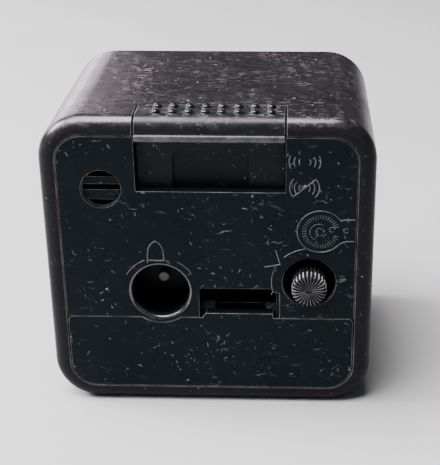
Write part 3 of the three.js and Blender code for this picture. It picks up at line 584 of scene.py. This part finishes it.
# -------------------------------------------------------------- battery door
zt = LINE - 0.05
door = prism("battery_door_lid", rounded(-x1 + 0.08, RIM + GAP - 0.16, x1 - 0.08, zt, [rc, rc, 0.9, 0.9], 14), CY, YB)
tab = prism("tab", [(-12.1, zt - 1.0), (1.35, zt - 1.0), (1.35, zt + 0.25), (0.75, zt + 0.95), (-12.1, zt + 0.95)], CY, YB)
boolean(door, [tab], "UNION")
boolean(door, [disc("d1", AX, AZ, 6.7, CY - 1, YB + 1)])
bevel(door, 0.16, 2, 40)
tongue = prism("tongue", [(-10.6, 14), (-0.8, 14), (-0.8, zt + 1.2), (-1.3, zt + 1.72), (-10.1, zt + 1.72), (-10.6, zt + 1.2)], 18.2, 19.4)
bevel(tongue, 0.1, 2)
parts = [tongue, block("t1", -10.6, -0.8, 19.4, CY, 14, 15.2)]
for x in (-18, 18):
    parts += [block("t2", x - 2.5, x + 2.5, 18.1, CY, 4.3, 5.4), block("t3", x - 2.5, x + 2.5, 17.2, 18.1, 2.7, 5.4)]
merge(door, parts)
smooth(door)
finish_piece(door, "battery_door", "cover_plastic", replaces=["battery_door"], extra=["edge_cover"])

# -------------------------------------------------------------- alarm switch
prof = [(2.3, 40.6), (3.9, 40.6), (3.9, H - 2.4), (SWD, H - 2.4), (SWD, H)]
prof += [(ER - ER * math.sin(math.pi / 2 * i / 12), H - ER + ER * math.cos(math.pi / 2 * i / 12)) for i in range(13)]
prof += [(0.12, LIP + 1.55), (0.05, LIP + 1.3), (-0.22, LIP + 1.15), (-0.36, LIP + 0.85), (-0.38, LIP + 0.5), (-0.26, LIP + 0.18), (0.0, LIP), (2.3, LIP)]
n = len(prof)
v = [(SW0, YB - d, z) for d, z in prof] + [(SW1, YB - d, z) for d, z in prof]
f = [list(range(n)), list(range(n, 2 * n))] + [[i, (i + 1) % n, n + (i + 1) % n, n + i] for i in range(n)]
sw = fix_normals(new_object("alarm_switch_slider", v, f))
boolean(sw, [prism("s1", rounded(-7.6, 38, 6.4, 52.7, [0, 0, 1.6, 1.6], 10), YB - 3.1, YB - 1.5)])
bevel(sw, 0.12, 2, 40)


def bump_on(name, x, y, z, r, h, n=28, m=9):
    """a low round bump with a small fillet at its foot"""
    rows = [(r * 1.22, 0.0 - 0.05), (r * 1.12, 0.015), (r * 1.03, 0.07)]
    rows += [(r * math.cos(t), 0.12 + (h - 0.12) * math.sin(t)) for t in [math.pi / 2 * i / m for i in range(m)]]
    vv, ff = [], []
    for q, zz in rows:
        vv += [(x + q * math.cos(2 * math.pi * i / n), y + q * math.sin(2 * math.pi * i / n), z + zz) for i in range(n)]
    vv.append((x, y, z + h))
    for j in range(len(rows) - 1):
        ff += [[j * n + i, j * n + (i + 1) % n, (j + 1) * n + (i + 1) % n, (j + 1) * n + i] for i in range(n)]
    k = (len(rows) - 1) * n
    ff += [[k + i, k + (i + 1) % n, len(vv) - 1] for i in range(n)]
    ff.append(list(range(n - 1, -1, -1)))
    return fix_normals(new_object(name, vv, ff))


bumps = [bump_on("bp", 9.2 - i * 2.99, YB - 3.4 - row * 2.99, H, 0.82, 0.70) for row in range(2) for i in range(8)]
merge(sw, bumps)
smooth(sw)
polish_rolls(sw, 2, 2)
for f in sw.data.polygons:
    c = f.center * 1000
    if c.z > H + 0.05: f.material_index = 4
    # painted highlight: the bead's front faces take the lighter bead material
    elif c.y > YB - 0.14 and LIP + 0.02 < c.z < LIP + 1.42: f.material_index = 3      # the proud bead at the foot of the slide
    elif c.z < LIP - 0.3 and c.y < YB - 1.2 and f.material_index == 1: f.material_index = 0
finish_piece(sw, "alarm_switch", "case_plastic", "switch_plastic", replaces=["alarm_switch"], extra=["edge_case", "switch_roll", "slide_bead_painted_highlight", "bump_gloss"])


# ---------------------------------------------------------------- time knob
def knob():
    ribs, per = 26, 12
    n = ribs * per
    y1 = YB + 3.5
    # radius, y, depth of the groove sideways, depth of the groove along the axis
    rows = [(1.45, 16.4, 0, 0), (3.0, 16.4, 0, 0), (3.22, 16.6, 0.12, 0), (3.3, 17.0, 0.42, 0), (3.3, 20.0, 0.42, 0), (3.3, YB + 1.5, 0.42, 0), (3.3, YB + 2.6, 0.42, 0.0), (3.27, YB + 2.9, 0.42, 0.02),
            (3.16, YB + 3.14, 0.38, 0.14), (2.98, YB + 3.3, 0.3, 0.28), (2.7, YB + 3.38, 0.15, 0.4), (2.3, YB + 3.4, 0, 0.44), (1.9, YB + 3.38, 0, 0.42), (1.5, YB + 3.33, 0, 0.34), (1.1, YB + 3.26, 0, 0.22),
            (0.85, YB + 3.18, 0, 0.1), (0.66, YB + 3.06, 0, 0), (0.5, YB + 2.9, 0, 0), (0.25, YB + 2.82, 0, 0)]
    v, f = [], []
    for r, y, dep, sink in rows:
        for i in range(n):
            ph = (i % per) / per
            w = (0.5 + 0.5 * math.cos(2 * math.pi * ph)) ** 0.8
            t = 2 * math.pi * i / n
            rr = r - dep * (1 - w)
            v.append((KX + rr * math.cos(t), y - sink * (1 - w), KZ + rr * math.sin(t)))
    m = len(rows)
    for j in range(m - 1):
        f += [[j * n + i, j * n + (i + 1) % n, (j + 1) * n + (i + 1) % n, (j + 1) * n + i] for i in range(n)]
    v.append((KX, YB + 2.8, KZ)); c = len(v) - 1
    f += [[(m - 1) * n + i, (m - 1) * n + (i + 1) % n, c] for i in range(n)]
    # bore for the arbor
    b0 = len(v)
    for i in range(n):
        t = 2 * math.pi * i / n
        v.append((KX + 1.45 * math.cos(t), 20.1, KZ + 1.45 * math.sin(t)))
    f += [[i, (i + 1) % n, b0 + (i + 1) % n, b0 + i] for i in range(n)]
    f.append([b0 + i for i in range(n)])
    o = fix_normals(new_object("time_knob_ribbed", v, f))
    for _ in range(3): o.data.materials.append(None)
    for p in o.data.polygons:
        x, z = p.center.x / MM - KX, p.center.z / MM - KZ
        ph = (math.atan2(z, x) / (2 * math.pi) * ribs) % 1.0
        near, far = min(ph, 1 - ph), math.hypot(x, z)
        # painted highlight: the side crests take the light crest material, the front-face crests its dimmer copy
        if far > 3.08 and near < 0.2 and p.center.y > (YB + 1.0) * MM: p.material_index = 1
        elif 0.75 < far <= 3.08 and near < 0.13 and p.center.y > (YB + 2.5) * MM: p.material_index = 2
    return o


k_obj = smooth(knob(), 50)
finish_piece(k_obj, "time_setter", "knob_plastic", replaces=["time_set_knob"], extra=["knob_crest_painted_highlight", "knob_face_crest_dim_painted_highlight"])


# --------------------------------------------------- moulded symbols, no text
def strokes(name, lines, y, r=0.12, mat="mark_plastic", body="case", slot="cover_plastic"):
    """each line of (u, z) is a half-round ridge on the cover; u runs to the left of the row's X"""
    made = []
    for line in lines:
        pts = [Vector((-u, 0, z)) for u, z in line]
        v, f = [], []
        m = 8
        for i, p in enumerate(pts):
            a = pts[max(i - 1, 0)]; b = pts[min(i + 1, len(pts) - 1)]
            t = (b - a).normalized(); nrm = Vector((t.z, 0, -t.x))
            for q in range(m):
                an = math.pi * q / (m - 1)
                v.append((p.x + nrm.x * r * math.cos(an), y - 0.04 + r * 1.05 * math.sin(an), p.z + nrm.z * r * math.cos(an)))
        for i in range(len(pts) - 1):
            f += [[i * m + q, i * m + (q + 1) % m, (i + 1) * m + (q + 1) % m, (i + 1) * m + q] for q in range(m)]
        f.append(list(range(m))); f.append(list(range((len(pts) - 1) * m, len(pts) * m)))
        made.append(fix_normals(new_object(name + "_s", v, f)))
    o = merge(made[0], made[1:]); o.name = name
    for p in o.data.polygons: p.use_smooth = True
    o.data.set_sharp_from_angle(angle=math.radians(60))
    return finish_piece(o, body, slot, mat)


def arcs(u, z, r, a0, a1, n=14, squash=1.0):
    return [(u + r * math.cos(math.radians(a0 + (a1 - a0) * i / n)), z + squash * r * math.sin(math.radians(a0 + (a1 - a0) * i / n))) for i in range(n + 1)]


bell = [(-11.55, 30.75), (-11.4, 33.3), (-11.1, 34.2), (-10.55, 34.9), (-9.95, 35.25), (-9.35, 34.9), (-8.8, 34.2), (-8.5, 33.3), (-8.4, 31.15)]
strokes("mark_bell", [bell, [(-11.5, 31.25), (-8.45, 31.2)]], YB)
strokes("mark_hands", [[(12.54, 33.75), (13.0, 32.2), (13.45, 30.6)], [(13.4, 30.65), (12.0, 30.35), (10.5, 30.1)]], YB)
waves = []
for cz, off in ((51.4, False), (46.3, True)):
    for r, a0, sq in (((1.05, 34, 0.95), (1.95, 30, 0.95), (2.85, 27, 0.95)) if not off else ((1.0, 40, 1.0), (1.85, 40, 1.0), (2.7, 42, 1.0))):
        for a in (0, 180): waves.append(arcs(17.85, cz, r, a - a0, a + a0, 12, sq))
    if off: waves.append([(16.0, 44.75), (16.8, 45.4), (18.9, 47.2), (19.75, 47.95)])
strokes("mark_sound", waves, YB, 0.115)
ring_lines = [arcs(20.9, 37.55, 4.35, 32, 322, 46, 0.97)]
ring_lines += [[(24.6, 39.8), (25.2, 39.95), (26.0, 40.0), (27.2, 40.0)], [(24.35, 34.95), (25.0, 35.35), (25.7, 35.55), (27.2, 35.6)]]
strokes("mark_ring", ring_lines, YB, 0.12)
ring_lines = []
for i in range(40):
    if i in (0, 39, 1): continue
    a = math.radians(i * 9)
    ring_lines.append([(20.9 + 2.65 * math.cos(a), 37.55 + 2.6 * math.sin(a)), (20.9 + 3.5 * math.cos(a), 37.55 + 3.42 * math.sin(a))])
ring_lines += [arcs(20.6, 37.4, 1.7, 60, 250, 16), arcs(20.8, 37.5, 0.8, 100, 330, 12), [(20.0, 36.2), (20.4, 37.0), (20.2, 37.9)], [(21.4, 36.4), (22.0, 37.2)], arcs(23.0, 38.0, 0.5, 0, 300, 12), arcs(25.6, 37.8, 0.45, 20, 330, 12)]
strokes("mark_dial_ring", ring_lines, YB, 0.07)
turn = [arcs(18.9, 26.8, 7.1, 150, 196, 14), [(11.75, 24.2), (12.05, 24.9), (12.7, 24.6)], arcs(18.9, 26.8, 7.15, 96, 132, 12)]
turn += [arcs(-9.35, 24.6, 7.2, 112, 150, 12), arcs(-9.35, 24.6, 7.2, 34, 62, 10)]
strokes("mark_arrows", turn, YB, 0.1)

# --------------------------------------------------------------- dial, front
lens = loft("lens_clear_window", [
    [(a, YF + 3.5, b) for a, b in rounded(-28.2, 2.8, 28.2, 56.7, 6, NC)], [(a, YF + 2.35, b) for a, b in rounded(-28.2, 2.8, 28.2, 56.7, 6, NC)],
    [(a, YF + 2.35, b) for a, b in rounded(-25.2, 4.55, 25.2, 54.95, 4.7, NC)], [(a, YF + 0.65, b) for a, b in rounded(-25.2, 4.55, 25.2, 54.95, 4.7, NC)],
    [(a, YF + 0.5, b) for a, b in rounded(-25.05, 4.7, 25.05, 54.8, 4.55, NC)], [(a, YF + 0.45, b) for a, b in rounded(-24.8, 4.95, 24.8, 54.55, 4.3, NC)]], False)
smooth(lens, 30)
finish_piece(lens, "case", "lens_clear", replaces=["lens"])
sp = loft("dial_spacer_frame", [
    [(a, YF + 3.8, b) for a, b in rounded(-28.2, 2.8, 28.2, 56.7, 6, NC)], [(a, YF + 7.3, b) for a, b in rounded(-28.2, 2.8, 28.2, 56.7, 6, NC)],
    [(a, YF + 7.3, b) for a, b in rounded(-24.6, 5.15, 24.6, 54.35, 3, NC)], [(a, YF + 4.0, b) for a, b in rounded(-25.0, 4.75, 25.0, 54.75, 3.3, NC)],
    [(a, YF + 3.8, b) for a, b in rounded(-25.2, 4.55, 25.2, 54.95, 3.5, NC)]], True)
smooth(sp, 30)
finish_piece(sp, "case", "inner_black", replaces=["dial_spacer"])

DY = -14.9
ticks = []
for i in range(60):
    big = i % 5 == 0
    a = math.radians(i * 6); s, c = math.sin(a), math.cos(a)
    r0, r1, w = (21.2, 23.6, 0.42) if big else (22.5, 23.6, 0.16)
    q = [(s * r0 - c * w, c * r0 + s * w), (s * r0 + c * w, c * r0 - s * w), (s * r1 + c * w, c * r1 - s * w), (s * r1 - c * w, c * r1 + s * w)]
    ticks.append(prism("tk", [(CX + x, CZ + z) for x, z in q], DY - 0.06, DY - 0.005))
for i in range(12):
    cu_ = bpy.data.curves.new("numeral", "FONT"); cu_.body = str(i if i else 12)
    cu_.size = 5.6 * MM; cu_.extrude = 0.03 * MM; cu_.align_x = "CENTER"; cu_.align_y = "CENTER"; cu_.resolution_u = 6
    t = bpy.data.objects.new("numeral", cu_); scene.collection.objects.link(t)
    dg = bpy.context.evaluated_depsgraph_get(); dg.update()
    me = bpy.data.meshes.new_from_object(t.evaluated_get(dg))
    a = math.radians(i * 30)
    me.transform(Matrix.Translation(Vector(((CX + 17.6 * math.sin(a)) * MM, (DY - 0.04) * MM, (CZ + 17.6 * math.cos(a)) * MM))) @ Matrix.Rotation(math.pi / 2, 4, "X"))
    bpy.data.objects.remove(t, do_unlink=True)
    o = bpy.data.objects.new("numeral_mesh", me); scene.collection.objects.link(o)
    ticks.append(o)
dial = merge(ticks[0], ticks[1:]); dial.name = "dial_numerals"
for p in dial.data.polygons: p.use_smooth = False
finish_piece(dial, "case", "hand_white", "print_white")

# ------------------------------------------------------------ stage and light
floor = bpy.data.objects.new("floor", bpy.data.meshes.new("floor")); scene.collection.objects.link(floor)
s = 1.6
floor.data.from_pydata([(-s, -s, 0), (s, -s, 0), (s, s, 0), (-s, s, 0)], [], [(0, 1, 2, 3)])
k = Nodes("floor_pale")
k.link(k.mix(k.ramp(k.noise(k.mapping((0.02, 0.02, 0.02)), 1, 4, 0.6), [(0.3, 0.0), (0.7, 1.0)]), (0.50, 0.51, 0.505), (0.54, 0.545, 0.54)), k.p.inputs["Base Color"])
k.p.inputs["Roughness"].default_value = 0.75
floor.data.materials.append(k.m)

world = bpy.data.worlds.new("world"); scene.world = world; world.use_nodes = True
world.node_tree.nodes["Background"].inputs[0].default_value = (0.88, 0.92, 0.96, 1)
world.node_tree.nodes["Background"].inputs[1].default_value = 0.09
backdrop = world.node_tree.nodes.new("ShaderNodeBackground")
backdrop.inputs[0].default_value = (0.80, 0.81, 0.82, 1); backdrop.inputs[1].default_value = 0.62
seen = world.node_tree.nodes.new("ShaderNodeLightPath"); blend = world.node_tree.nodes.new("ShaderNodeMixShader")
world.node_tree.links.new(seen.outputs["Is Camera Ray"], blend.inputs[0])
world.node_tree.links.new(world.node_tree.nodes["Background"].outputs[0], blend.inputs[1])
world.node_tree.links.new(backdrop.outputs[0], blend.inputs[2])
world.node_tree.links.new(blend.outputs[0], world.node_tree.nodes["World Output"].inputs[0])


def area(name, loc, target, size, power, color=(1, 1, 1), size_y=None):
    l = bpy.data.lights.new(name, "AREA"); l.energy = power; l.size = size; l.color = color
    if size_y: l.shape = "RECTANGLE"; l.size_y = size_y
    o = bpy.data.objects.new(name, l); scene.collection.objects.link(o)
    o.location = loc
    o.rotation_euler = (Vector(target) - Vector(loc)).to_track_quat("-Z", "Y").to_euler()
    return o


area("key_above", (0.20, 0.08, 0.70), (0, 0, 0.03), 0.50, 16.0, (1.0, 0.95, 0.98))
area("key_left", (0.56, -0.03, 0.42), (0, 0, 0.03), 0.28, 9.0, (1.0, 0.94, 0.98))
area("fill_left_front", (0.52, 0.30, 0.44), (0, 0, 0.03), 0.30, 1.0, (1.0, 0.985, 1.0))
area("shoulder_left", (0.57, -0.915, 0.165), (0.02, 0, 0.04), 0.78, 6.6, (1.0, 0.88, 0.965), 0.46)
